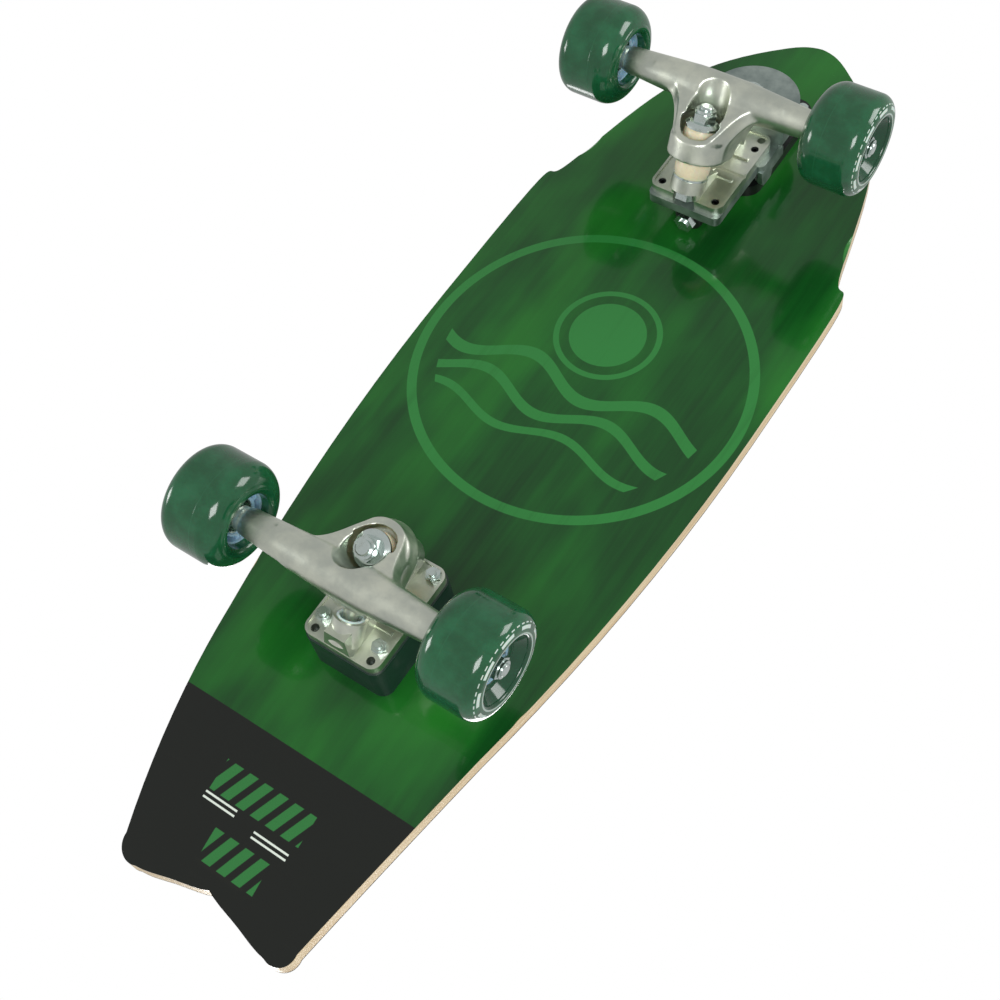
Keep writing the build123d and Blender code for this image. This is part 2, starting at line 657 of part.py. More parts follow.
with BuildPart() as swing_arm:
    with BuildSketch(ADAPTER.offset(NOSE_UNDER)):
        with Locations((0, 2)):
            Circle(33)
        with Locations((0, (TRUCK_END + 7) / 2 - 0.15)):
            Rectangle(68, 7 - TRUCK_END - 0.3)
        with Locations((0, -60)):
            Rectangle(90, 2 * (60 + TRUCK_END), mode=Mode.SUBTRACT)
    extrude(amount=NOSE_FACE - NOSE_UNDER)
    with BuildSketch(ADAPTER.offset(BED_UNDER)):
        with Locations((0, TRUCK_END + 3)):
            Rectangle(62, 6)
    extrude(amount=NOSE_UNDER - BED_UNDER)
    with BuildSketch(ADAPTER.offset(BED_UNDER)):
        with Locations((0, (TRUCK_END - 89) / 2)):
            RectangleRounded(PLATE_WIDTH, 89 + TRUCK_END + 10, 5)
        with Locations((0, -24)):
            RectangleRounded(2 * CHEEK_X + 7, 30, 5)
    extrude(amount=TRUCK_DROP - BED_UNDER)
    for x_sign in (-1, 1):
        with BuildSketch(side_plane(ADAPTER, x_sign * (CHEEK_X + 1.75))):
            Polygon((-9, 25), (-9, 17), (-24, 17), (-26, 11), (-36, 11), (-39, 15), (-39, 25), align=None)
        extrude(amount=1.75, both=True)
    with BuildSketch(side_plane(ADAPTER)):
        Polygon((-63, 25), (-63, 6), (-66, 3.5), (-74, 3.5), (-74, 25), align=None)
    extrude(amount=8.5, both=True)
    disc(ADAPTER, 12.5, 0, NOSE_UNDER, Mode.SUBTRACT)
    disc(ADAPTER, 8, 0, NOSE_FACE, Mode.SUBTRACT)
    disc(ROLLER, AXLE_RADIUS + 0.02, 60, 80, Mode.SUBTRACT)
    with BuildSketch(TRUCKS["front"].offset(-10)):
        with GridLocations(BOLT_X, BOLT_Y, 2, 2):
            Circle(2.52)
    extrude(amount=10, mode=Mode.SUBTRACT)
write(swing_arm, "swing_arm")

with BuildPart() as pivot_bolt:
    hexagon(ADAPTER, 17, 0.2, 6.6)
    disc(ADAPTER, PIVOT_BOLT_RADIUS, 6.6, NOSE_FACE + 13)
    chamfer(pivot_bolt.edges().filter_by(GeomType.CIRCLE).sort_by(Axis.Z)[0], 0.9)
write(pivot_bolt, "swing_pivot_bolt")

with BuildPart() as pivot_nut:
    hexagon(ADAPTER, 16.6, NOSE_FACE + 2, NOSE_FACE + 8.5)
    disc(ADAPTER, 7.4, NOSE_FACE + 8.5, NOSE_FACE + 11)
    disc(ADAPTER, PIVOT_BOLT_RADIUS + 0.02, NOSE_FACE, NOSE_FACE + 12, Mode.SUBTRACT)
write(pivot_nut, "swing_pivot_nut")

with BuildPart() as pivot_washer:
    tube(ADAPTER, 10.5, PIVOT_BOLT_RADIUS + 0.1, NOSE_FACE + 0.1, NOSE_FACE + 2)
write(pivot_washer, "swing_pivot_washer")

with BuildPart() as sleeve:
    tube(ADAPTER, 7.98, PIVOT_BOLT_RADIUS + 0.06, NOSE_UNDER, NOSE_FACE)
write(sleeve, "swing_arm_sleeve")

with BuildPart() as thrust_bearing:
    tube(ADAPTER, 11.4, PIVOT_BOLT_RADIUS + 0.3, BOSS_TOP + 0.05, BOSS_TOP + 1)
    tube(ADAPTER, 11.0, 7.0, BOSS_TOP + 1, NOSE_UNDER - 1)
    tube(ADAPTER, 11.4, PIVOT_BOLT_RADIUS + 0.3, NOSE_UNDER - 1, NOSE_UNDER)
write(thrust_bearing, "swing_thrust_bearing")

with BuildPart() as springs:
    for x_sign in (-1, 1):
        start = ADAPTER.from_local_coords(Vector(x_sign * 6.2, POST_Y, 16))
        coil = Helix(pitch=4.08, height=20.4, radius=4.6, center=start, direction=(x_sign, 0, 0))
        with BuildSketch(Plane(origin=coil @ 0, z_dir=coil % 0)):
            Circle(0.8)
        sweep(path=coil)
write(springs, "return_springs")

with BuildPart() as arm_screws:
    with BuildSketch(TRUCKS["front"].offset(-6.5)):
        with GridLocations(BOLT_X, BOLT_Y, 2, 2):
            Circle(2.5)
    extrude(amount=11.8)
    with BuildSketch(TRUCKS["front"].offset(3.5)):
        with GridLocations(BOLT_X, BOLT_Y, 2, 2):
            RegularPolygon(1.25, 6, major_radius=False)
    extrude(amount=3, mode=Mode.SUBTRACT)
write(arm_screws, "front_truck_screws")

with BuildPart() as roller:
    tube(ROLLER, ROLLER_RADIUS, AXLE_RADIUS + 0.08, 75.2, 87)
    fillet(roller.edges().filter_by(GeomType.CIRCLE).group_by(SortBy.RADIUS)[-1], 2.5)
write(roller, "support_roller")

with BuildPart() as roller_bolt:
    hexagon(ROLLER, 12.8, 57, 62.8)
    disc(ROLLER, AXLE_RADIUS, 62.8, 94)
    tube(ROLLER, 6, AXLE_RADIUS, 74.1, 75)
    hexagon(ROLLER, 12.8, 87.6, 92.5)
write(roller_bolt, "support_roller_bolt")
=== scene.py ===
"""Looks for a surf-style cruiser skateboard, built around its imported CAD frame."""

import json
import logging
import math
from dataclasses import dataclass
from enum import Enum
from typing import Optional, Protocol, Sequence, Union

import bmesh
import bpy
from mathutils import Matrix, Vector

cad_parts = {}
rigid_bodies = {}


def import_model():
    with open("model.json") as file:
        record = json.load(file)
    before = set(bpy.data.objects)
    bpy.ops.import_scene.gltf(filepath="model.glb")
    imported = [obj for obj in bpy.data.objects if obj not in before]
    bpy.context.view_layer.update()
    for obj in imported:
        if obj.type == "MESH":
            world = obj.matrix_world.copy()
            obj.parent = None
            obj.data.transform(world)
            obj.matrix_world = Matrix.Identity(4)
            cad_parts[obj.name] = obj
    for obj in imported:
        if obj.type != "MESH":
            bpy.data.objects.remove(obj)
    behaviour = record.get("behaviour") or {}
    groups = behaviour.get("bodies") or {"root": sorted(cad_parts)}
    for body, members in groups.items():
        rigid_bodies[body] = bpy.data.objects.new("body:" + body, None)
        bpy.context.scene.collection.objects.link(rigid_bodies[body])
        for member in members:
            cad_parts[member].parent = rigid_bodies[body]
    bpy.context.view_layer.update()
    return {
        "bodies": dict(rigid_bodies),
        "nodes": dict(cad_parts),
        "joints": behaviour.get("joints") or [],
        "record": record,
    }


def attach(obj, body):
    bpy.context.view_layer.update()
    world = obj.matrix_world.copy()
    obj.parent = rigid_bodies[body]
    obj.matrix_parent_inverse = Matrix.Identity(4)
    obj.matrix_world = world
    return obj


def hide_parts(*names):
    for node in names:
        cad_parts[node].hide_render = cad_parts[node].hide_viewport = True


log = logging.getLogger("skateboard")

Colour = tuple[float, float, float]
Number = Union[float, "Value"]

DECK_UNDERSIDE: float = 0.1215


# ---------------------------------------------------------------- shader graph


class Value:
    """A shader output that can be used in arithmetic; each operation adds a node."""

    def __init__(self, graph: "Graph", socket: bpy.types.NodeSocket) -> None:
        """Wrap a socket.

        Args:
            graph: The graph that owns the socket.
            socket: The output socket.
        """
        self.graph = graph
        self.socket = socket

    def apply(self, operation: str, *terms: Number) -> "Value":
        """Add a Math node.

        Args:
            operation: The node's operation.
            terms: Its inputs, in order.

        Returns:
            The node's result.
        """
        return self.graph.node("ShaderNodeMath", {"operation": operation}, dict(enumerate(terms)))

    def __add__(self, other: Number) -> "Value":
        """Sum."""
        return self.apply("ADD", self, other)

    __radd__ = __add__

    def __sub__(self, other: Number) -> "Value":
        """Difference."""
        return self.apply("SUBTRACT", self, other)

    def __rsub__(self, other: Number) -> "Value":
        """Difference from a number."""
        return self.apply("SUBTRACT", other, self)

    def __mul__(self, other: Number) -> "Value":
        """Product."""
        return self.apply("MULTIPLY", self, other)

    __rmul__ = __mul__

    def __truediv__(self, other: Number) -> "Value":
        """Quotient."""
        return self.apply("DIVIDE", self, other)

    def __rtruediv__(self, other: Number) -> "Value":
        """Quotient of a number."""
        return self.apply("DIVIDE", other, self)

    def __abs__(self) -> "Value":
        """Size without sign."""
        return self.apply("ABSOLUTE", self)

    def sqrt(self) -> "Value":
        """Square root."""
        return self.apply("SQRT", self)

    def sine(self) -> "Value":
        """Sine."""
        return self.apply("SINE", self)

    def fraction(self) -> "Value":
        """What is left after the whole number below."""
        return self.apply("FRACT", self)

    def minimum(self, other: Number) -> "Value":
        """The smaller of two."""
        return self.apply("MINIMUM", self, other)

    def maximum(self, other: Number) -> "Value":
        """The larger of two."""
        return self.apply("MAXIMUM", self, other)

    def band(self, low: float, high: float, soft: float) -> "Value":
        """1 between two limits and 0 outside, with soft edges.

        Args:
            low: Lower limit.
            high: Upper limit.
            soft: Width of each edge.

        Returns:
            The share inside the band.
        """
        return self.ramp(low - soft / 2, low + soft / 2) * (1.0 - self.ramp(high - soft / 2, high + soft / 2))

    def ramp(self, low: float, high: float, start: float = 0.0, end: float = 1.0) -> "Value":
        """Map a range smoothly, clamped at both ends.

        Args:
            low: Input at the start.
            high: Input at the end.
            start: Output at and below low.
            end: Output at and above high.

        Returns:
            The mapped value.
        """
        return self.graph.node(
            "ShaderNodeMapRange",
            {"interpolation_type": "SMOOTHSTEP"},
            {"Value": self, "From Min": low, "From Max": high, "To Min": start, "To Max": end},
        )


Input = Union[float, Value, Sequence[float]]


class Graph:
    """The node graph of one material."""

    def __init__(self, name: str) -> None:
        """Start a material with a Principled shader.

        Args:
            name: The material's name.
        """
        self.material = bpy.data.materials.new(name)
        self.material.use_nodes = True
        self.tree = self.material.node_tree
        self.shader = next(n for n in self.tree.nodes if n.type == "BSDF_PRINCIPLED")
        self.output = next(n for n in self.tree.nodes if n.type == "OUTPUT_MATERIAL")

    def node(
        self,
        kind: str,
        settings: Optional[dict[str, object]] = None,
        inputs: Optional[dict[Union[int, str], Input]] = None,
        result: Union[int, str] = 0,
    ) -> Value:
        """Add a node.

        Args:
            kind: The node's type.
            settings: Properties of the node.
            inputs: Socket names or numbers with constants or values.
            result: The output to return.

        Returns:
            The chosen output.
        """
        made = self.tree.nodes.new(kind)
        for key, value in (settings or {}).items():
            setattr(made, key, value)
        for key, value in (inputs or {}).items():
            self._feed(made.inputs[key], value)
        return Value(self, made.outputs[result])

    def _feed(self, socket: bpy.types.NodeSocket, value: Input) -> None:
        """Link a value to a socket or set the socket's own constant."""
        if isinstance(value, Value):
            self.tree.links.new(value.socket, socket)
        elif isinstance(value, (int, float)):
            socket.default_value = value
        else:
            padded = tuple(value) + (1.0,) * (len(socket.default_value) - len(value))
            socket.default_value = padded

    def set(self, **sockets: Input) -> None:
        """Set the Principled shader's sockets; underscores stand for spaces.

        Args:
            sockets: Socket names with constants or values.
        """
        for name, value in sockets.items():
            self._feed(self.shader.inputs[name.replace("_", " ")], value)

    def place(self) -> Value:
        """Object coordinates, which are the row frame in metres."""
        return self.node("ShaderNodeTexCoord", result="Object")

    def axes(self, vector: Optional[Value] = None) -> tuple[Value, Value, Value]:
        """Split a vector.

        Args:
            vector: The vector; Object coordinates if left out.

        Returns:
            Its x, y and z.
        """
        split = self.node("ShaderNodeSeparateXYZ", inputs={0: vector or self.place()})
        outputs = split.socket.node.outputs
        return Value(self, outputs[0]), Value(self, outputs[1]), Value(self, outputs[2])

    def vector(self, x: Number, y: Number, z: Number) -> Value:
        """Join three numbers into a vector."""
        return self.node("ShaderNodeCombineXYZ", inputs={0: x, 1: y, 2: z})

    def noise(self, vector: Value, scale: float, detail: float = 2.0, roughness: float = 0.5) -> Value:
        """Noise from 0 to 1.

        Args:
            vector: Where to read it.
            scale: Its frequency.
            detail: Octaves.
            roughness: Share of each further octave.

        Returns:
            The noise.
        """
        return self.node(
            "ShaderNodeTexNoise", inputs={"Vector": vector, "Scale": scale, "Detail": detail, "Roughness": roughness}
        )

    def mix(self, share: Number, first: Input, second: Input) -> Value:
        """Blend two colours.

        Args:
            share: Share of the second, from 0 to 1.
            first: A colour.
            second: A colour.

        Returns:
            The blend.
        """
        made = self.node("ShaderNodeMix", {"data_type": "RGBA"}, {0: share}, result=2).socket.node
        self._feed(made.inputs[6], first)
        self._feed(made.inputs[7], second)
        return Value(self, made.outputs[2])

    def bump(self, height: Value, strength: float, distance: float) -> None:
        """Feed the shader's Normal from a height.

        Args:
            height: The height.
            strength: Strength of the effect.
            distance: Height of one unit, in metres.
        """
        normal = self.node(
            "ShaderNodeBump", inputs={"Height": height, "Strength": strength, "Distance": distance}, result="Normal"
        )
        self.set(Normal=normal)


def tint(red: int, green: int, blue: int) -> Colour:
    """Turn display values from 0 to 255 into a linear colour."""
    linear = [(c / 255 / 12.92) if c <= 10 else ((c / 255 + 0.055) / 1.055) ** 2.4 for c in (red, green, blue)]
    return (linear[0], linear[1], linear[2])


def apart(*terms: Number) -> Value:
    """Length of a vector.

    Args:
        terms: Its parts.

    Returns:
        The length.
    """
    total = terms[0] * terms[0]
    for term in terms[1:]:
        total = total + term * term
    return total.sqrt()


class Slot(Enum):
    """The finishes that the record names."""

    VENEER = "stained_veneer"
    MAPLE = "maple"
    TOP = "top_veneer"
    GRIP = "grip"
    CAST = "cast_aluminium"
    ARM = "arm_aluminium"
    BLACK_CASTING = "black_casting"
    RISER = "riser_plastic"
    ZINC = "zinc_steel"
    BLACK_STEEL = "black_steel"
    SPRING = "spring_steel"
    BRONZE = "bronze"
    BUSHING = "bushing_urethane"
    CUP = "cup_urethane"
    WHEEL = "wheel_urethane"
    CORE = "core_plastic"
    ROLLER = "roller_urethane"


# ---------------------------------------------------------------- finishes


class Finish(Protocol):
    """Anything that makes a material."""

    def build(self) -> bpy.types.Material:
        """Make the material.

        Returns:
            The material.
        """
        ...


@dataclass(frozen=True)
class DeckShape:
    """What the deck's finishes need to know of its shape, in metres."""

    underside: float = DECK_UNDERSIDE
    concave: float = 0.004
    flat: float = 0.034
    half_width: float = 0.120
    kick_start: float = 0.223
    kick_radius: float = 0.442
    well_x: float = 0.143
    well_drop: float = 0.038
    well_radius: float = 0.058
    front_well: float = -0.2234
    rear_well: float = 0.1934

    def height(self, x: Value, y: Value, z: Value) -> Value:
        """Height over the deck's curved underside.

        Args:
            x: Across.
            y: Along.
            z: Up.

        Returns:
            The height through the plies.
        """
        edge = (abs(x) - self.flat).maximum(0.0) / (self.half_width - self.flat)
        kick = (y - self.kick_start).maximum(0.0).minimum(0.16)
        rise = self.kick_radius - (self.kick_radius**2 - kick * kick).sqrt()
        return z - self.underside - edge * edge * self.concave - rise

    def well(self, x: Value, y: Value, z: Value, centre: float) -> Value:
        """1 inside a pair of wheel wells.

        Args:
            x: Across.
            y: Along.
            z: Up.
            centre: The wells' place along the deck.

        Returns:
            The share inside.
        """
        reach = apart(abs(x) - self.well_x, y - centre, z - (self.underside - self.well_drop))
        return 1.0 - reach.ramp(self.well_radius + 0.0001, self.well_radius + 0.0005)


@dataclass(frozen=True)
class WoodTones:
    """Colours of the deck's wood."""

    stain: Colour = tint(20, 90, 30)
    # pale green: random stain clouds, and also the painted sheen in the front wheel wells
    stain_pale_and_sheen: Colour = tint(36, 122, 36)
    stain_dark: Colour = tint(12, 54, 20)
    print_light: Colour = tint(42, 122, 54)
    band: Colour = tint(16, 20, 15)
    mark: Colour = tint(44, 116, 56)
    line: Colour = tint(222, 232, 220)
    maple: Colour = tint(240, 222, 182)
    maple_dark: Colour = tint(214, 184, 136)
    glue: Colour = tint(150, 112, 72)


@dataclass(frozen=True)
class StainedVeneer:
    """Glossy green bottom ply with a round wave badge, a tail band and pale edges."""

    shape: DeckShape = DeckShape()
    tones: WoodTones = WoodTones()
    badge_y: float = -0.0385
    badge_radius: float = 0.1142
    badge_stroke: float = 0.0068
    badge_margin: float = 0.016
    swells: tuple[tuple[float, float, float], ...] = (
        (0.012, 0.009, 0.0045), (0.036, 0.008, 0.0038), (0.057, 0.006, 0.003),
    )
    swell_length: float = 0.094
    sun_rise: float = 0.034
    sun_radius: float = 0.026
    halo: tuple[float, float] = (0.033, 0.037)
    band_start: float = 0.2723
    bars: tuple[tuple[float, float, float], ...] = ((0.307, 0.0, 0.034), (0.3425, 0.004, 0.021))
    bar_half: float = 0.0098
    lines: tuple[tuple[float, float, float], ...] = ((-0.0349, -0.0106, 0.3206), (0.0053, 0.0314, 0.3247))

    def badge(self, x: Value, y: Value) -> Value:
        """A ring round a low sun over three swells.

        Args:
            x: Across.
            y: Along.

        Returns:
            1 where the badge is printed.
        """
        up = y - self.badge_y
        reach = apart(x, up)
        half = self.badge_stroke / 2
        ring = reach.band(self.badge_radius - half, self.badge_radius + half, 0.0006)
        inside = 1.0 - reach.ramp(self.badge_radius - self.badge_margin, self.badge_radius - self.badge_margin + 0.0005)
        marks: Number = 0.0
        for offset, size, width in self.swells:
            swell = (x * (2 * math.pi / self.swell_length) + offset * 60).sine() * size
            marks = (up - offset - swell).band(-width, width, 0.0006).maximum(marks)
        sun = apart(x, up + self.sun_rise)
        marks = (1.0 - sun.ramp(self.sun_radius, self.sun_radius + 0.0006)).maximum(marks)
        marks = sun.band(*self.halo, 0.0006).maximum(marks)
        return (marks * inside).maximum(ring)

    def tail(self, x: Value, y: Value) -> tuple[Value, Value]:
        """Slanted bars and short double lines on the tail band.

        Args:
            x: Across.
            y: Along.

        Returns:
            The bars' share and the lines' share.
        """
        bars: Number = 0.0
        for centre, middle, half in self.bars:
            phase = ((x + (y - centre) * 0.45) / 0.0115).fraction()
            row = (y - centre).band(-self.bar_half, self.bar_half, 0.0005) * abs(x - middle).band(-0.1, half, 0.0005)
            bars = (phase.band(0.16, 0.74, 0.06) * row).maximum(bars)
        lines: Number = 0.0
        for low, high, centre in self.lines:
            for shift in (-0.0016, 0.0016):
                stroke = (y - centre - shift).band(-0.0006, 0.0006, 0.0003) * x.band(low, high, 0.0005)
                lines = stroke.maximum(lines)
        return bars, lines

    def build(self) -> bpy.types.Material:
        """Make the material.

        Returns:
            The material.
        """
        graph = Graph(Slot.VENEER.value)
        place = graph.place()
        x, y, z = graph.axes(place)
        along = graph.vector(x * 160.0, y * 7.0, z * 160.0)
        streak = graph.noise(along, 1.0, 4.0, 0.6)
        cloud = graph.noise(graph.vector(x * 14.0, y * 6.0, z * 14.0), 1.0, 3.0)
        tones = self.tones
        stain = graph.mix(streak.ramp(0.2, 0.8) * 0.45 + cloud.ramp(0.3, 0.6) * 0.55, tones.stain_dark, tones.stain)
        stain = graph.mix(cloud.ramp(0.42, 0.74) * 0.7, stain, tones.stain_pale_and_sheen)
        stain = graph.mix(self.badge(x, y) * streak.ramp(0.2, 0.5, 0.7, 1.0), stain, tones.print_light)
        band = y.ramp(self.band_start - 0.0003, self.band_start + 0.0003)
        bars, lines = self.tail(x, y)
        dark = graph.mix(bars, tones.band, tones.mark)
        dark = graph.mix(lines, dark, tones.line)
        face = graph.mix(band, stain, dark)
        wood = graph.mix(streak, tones.maple_dark, tones.maple)
        # Front wheel wells: real green paint, mixed towards pale green as a painted sheen on the tilted scoops.
        well_green_and_sheen = graph.mix(streak.ramp(0.3, 0.7), tones.stain, tones.stain_pale_and_sheen)
        height = self.shape.height(x, y, z)
        front = self.shape.well(x, y, z, self.shape.front_well)
        rear = self.shape.well(x, y, z, self.shape.rear_well)
        face = graph.mix(height.ramp(0.00012, 0.00035), face, wood)
        # front wheel wells: green paint plus painted sheen
        face = graph.mix(front, face, well_green_and_sheen)
        face = graph.mix(rear, face, wood)
        scuff = graph.noise(graph.vector(x * 40.0, y * 260.0, z * 40.0), 1.0, 5.0, 0.7)
        graph.set(Base_Color=face, Roughness=(scuff.ramp(0.5, 0.8, 0.14, 0.3)), Coat_Weight=0.35, Coat_Roughness=0.06)
        graph.set(Specular_IOR_Level=0.25)
        peel = graph.noise(place, 150.0, 2.0) * (band * 0.5 + 0.2)
        graph.bump(peel + streak * 0.04, 0.22, 0.0004)
        return graph.material


@dataclass(frozen=True)
class LaminatedMaple:
    """Maple plies seen at the edge and in the wells."""

    slot: Slot
    shape: DeckShape = DeckShape()
    tones: WoodTones = WoodTones()
    ply: float = 0.0016
    veneer: float = 0.0015
    # whether the front wheel wells get green paint with a painted sheen
    stained_and_sheen_wells: bool = True

    def build(self) -> bpy.types.Material:
        """Make the material.

        Returns:
            The material.
        """
        graph = Graph(self.slot.value)
        place = graph.place()
        x, y, z = graph.axes(place)
        grain = graph.noise(graph.vector(x * 120.0, y * 9.0, z * 260.0), 1.0, 5.0, 0.62)
        height = self.shape.height(x, y, z)
        level = ((height - self.veneer) / self.ply).fraction()
        cross = ((height - self.veneer) / (self.ply * 2)).fraction().band(0.5, 1.0, 0.04)
        joint = 1.0 - level.band(0.06, 0.94, 0.06)
        wood = graph.mix(grain.ramp(0.3, 0.7), self.tones.maple_dark, self.tones.maple)
        wood = graph.mix(cross * 0.35, wood, self.tones.maple_dark)
        wood = graph.mix(joint * 0.65, wood, self.tones.glue)
        if self.stained_and_sheen_wells:
            # Front wheel wells: real green paint, mixed towards pale green as a painted sheen.
            green = graph.mix(grain, self.tones.stain, self.tones.stain_pale_and_sheen)
            wood = graph.mix(self.shape.well(x, y, z, self.shape.front_well), wood, green)
        graph.set(Base_Color=wood, Roughness=grain.ramp(0.3, 0.7, 0.34, 0.5), Coat_Weight=0.25, Coat_Roughness=0.2)
        graph.bump(grain + joint * 0.6, 0.25, 0.0004)
        return graph.material


@dataclass(frozen=True)
class GritTape:
    """Black abrasive tape with sparkling grit and dust."""

    colour: Colour = tint(22, 22, 23)
    dust: Colour = tint(62, 60, 56)
    sparkle: Colour = tint(150, 150, 150)

    def build(self) -> bpy.types.Material:
        """Make the material.

        Returns:
            The material.
        """
        graph = Graph(Slot.GRIP.value)
        place = graph.place()
        grit = graph.noise(place, 1500.0, 2.0, 0.7)
        cloud = graph.noise(place, 12.0, 4.0)
        colour = graph.mix(cloud.ramp(0.5, 0.85) * 0.6, self.colour, self.dust)
        colour = graph.mix(grit.ramp(0.66, 0.74) * 0.5, colour, self.sparkle)
        graph.set(Base_Color=colour, Roughness=grit.ramp(0.4, 0.7, 0.95, 0.5))
        graph.bump(grit, 0.9, 0.0005)
        return graph.material


@dataclass(frozen=True)
class CastMetal:
    """Tumbled casting: fine pits, soft blotches and a few handling marks."""

    slot: Slot
    colour: Colour
    shade: Colour
    metallic: float = 1.0
    roughness: tuple[float, float] = (0.28, 0.4)
    pits: float = 0.22
    coat: float = 0.0

    def build(self) -> bpy.types.Material:
        """Make the material.

        Returns:
            The material.
        """
        graph = Graph(self.slot.value)
        place = graph.place()
        blotch = graph.noise(place, 55.0, 4.0, 0.6)
        pit = graph.noise(place, 900.0, 3.0, 0.6)
        x, y, z = graph.axes(place)
        scratch = graph.noise(graph.vector(x * 60.0 + y * 40.0, y * 900.0, z * 500.0), 1.0, 3.0, 0.7)
        colour = graph.mix(blotch.ramp(0.32, 0.7), self.shade, self.colour)
        low, high = self.roughness
        rough = blotch.ramp(0.3, 0.7, low, high) + scratch.ramp(0.58, 0.8) * 0.12
        graph.set(Base_Color=colour, Metallic=self.metallic, Roughness=rough, Coat_Weight=self.coat)
        graph.bump(pit + blotch * 0.8 + scratch * 0.25, self.pits, 0.0003)
        return graph.material


@dataclass(frozen=True)
class TurnedMetal:
    """Machined or plated metal with fine tool lines and slight tarnish."""

    slot: Slot
    colour: Colour
    tarnish: Colour
    roughness: tuple[float, float] = (0.14, 0.3)

    def build(self) -> bpy.types.Material:
        """Make the material.

        Returns:
            The material.
        """
        graph = Graph(self.slot.value)
        place = graph.place()
        x, y, z = graph.axes(place)
        lines = graph.noise(graph.vector(x * 2600.0, y * 140.0, z * 140.0), 1.0, 2.0)
        stain = graph.noise(place, 240.0, 4.0, 0.65)
        low, high = self.roughness
        graph.set(
            Base_Color=graph.mix(stain.ramp(0.45, 0.75) * 0.8, self.colour, self.tarnish),
            Metallic=1.0,
            Roughness=stain.ramp(0.3, 0.75, low, high),
        )
        graph.bump(lines * 0.5 + stain * 0.3, 0.15, 0.0002)
        return graph.material


@dataclass(frozen=True)
class Moulded:
    """Moulded plastic or urethane with a fine texture and dirt."""

    slot: Slot
    colour: Colour
    dirt: Colour
    roughness: tuple[float, float] = (0.3, 0.5)
    scatter: float = 0.0
    texture: float = 0.12

    def build(self) -> bpy.types.Material:
        """Make the material.

        Returns:
            The material.
        """
        graph = Graph(self.slot.value)
        place = graph.place()
        fine = graph.noise(place, 1400.0, 2.0)
        grime = graph.noise(place, 90.0, 5.0, 0.65)
        low, high = self.roughness
        graph.set(
            Base_Color=graph.mix(grime.ramp(0.5, 0.85) * 0.7, self.colour, self.dirt),
            Roughness=grime.ramp(0.35, 0.75, low, high),
            Subsurface_Weight=self.scatter,
            Subsurface_Scale=0.004,
        )
        graph.bump(fine + grime * 0.6, self.texture, 0.0003)
        return graph.material


@dataclass(frozen=True)
class WheelUrethane:
    """Green urethane with a mould line, painted shade in the recessed centre of the outer face and printed dashes."""

    front_axle: float = -0.2234
    rear_axle: float = 0.1934
    axle_height: float = 0.0335
    mould_line: float = 0.0842
    green: Colour = tint(18, 76, 44)
    light: Colour = tint(28, 96, 60)
    # painted shade colour for the recessed centre of the outer face
    dark: Colour = tint(14, 62, 38)
    ink: Colour = tint(206, 222, 212)
    scuff: Colour = tint(60, 92, 70)
    dashes: int = 9
    ticks: int = 36

    def build(self) -> bpy.types.Material:
        """Make the material.

        Returns:
            The material.
        """
        graph = Graph(Slot.WHEEL.value)
        place = graph.place()
        x, y, z = graph.axes(place)
        front = y.apply("LESS_THAN", y, 0.0)
        forward = y - front * self.front_axle - (1.0 - front) * self.rear_axle
        upward = z - self.axle_height
        radius = apart(forward, upward)
        out = abs(x)
        cloud = graph.noise(place, 70.0, 4.0, 0.6)
        wear = graph.noise(graph.vector(x * 60.0, forward * 420.0, upward * 420.0), 1.0, 4.0, 0.7)
        colour = graph.mix(cloud.ramp(0.35, 0.75), self.green, self.light)
        # Painted shade: the recessed centre of the outer face is darkened towards the dark colour, as if shadowed.
        dish_shade_mask = (1.0 - radius.ramp(0.0222, 0.0228)) * out.ramp(0.098, 0.1)
        colour = graph.mix(dish_shade_mask * 0.8, colour, self.dark)
        rim = radius.band(0.0226, 0.0236, 0.0004) * out.ramp(0.105, 0.107)
        colour = graph.mix(rim * 0.6, colour, self.ink)
        seam = (out - self.mould_line).band(-0.0003, 0.0003, 0.0003) * radius.ramp(0.031, 0.0325)
        colour = graph.mix(seam * 0.5, colour, self.light)
        angle = y.apply("ARCTAN2", upward, forward)
        dash = (angle * (self.dashes / (2 * math.pi))).fraction().band(0.12, 0.7, 0.02)
        thin = (angle * (self.ticks / (2 * math.pi))).fraction().band(0.2, 0.75, 0.05)
        ring = radius.band(0.0258, 0.0278, 0.0003) * dash
        ring = (radius.band(0.0288, 0.0294, 0.0003) * thin).maximum(ring) * out.ramp(0.1045, 0.1055)
        colour = graph.mix(ring * cloud.ramp(0.25, 0.45, 0.6, 0.95), colour, self.ink)
        tread = radius.ramp(0.0328, 0.0333)
        dirt = tread * wear.ramp(0.5, 0.78) * 0.55
        colour = graph.mix(dirt * 0.2, colour, self.scuff)
        graph.set(
            Base_Color=colour,
            Roughness=wear.ramp(0.5, 0.85, 0.12, 0.24) + tread * 0.03,
            Subsurface_Weight=0.12,
            Subsurface_Scale=0.006,
            Coat_Weight=0.3,
            Coat_Roughness=0.1,
        )
        graph.bump(cloud * 0.3 + wear * 0.08 + seam * 0.9, 0.2, 0.0004)
        return graph.material


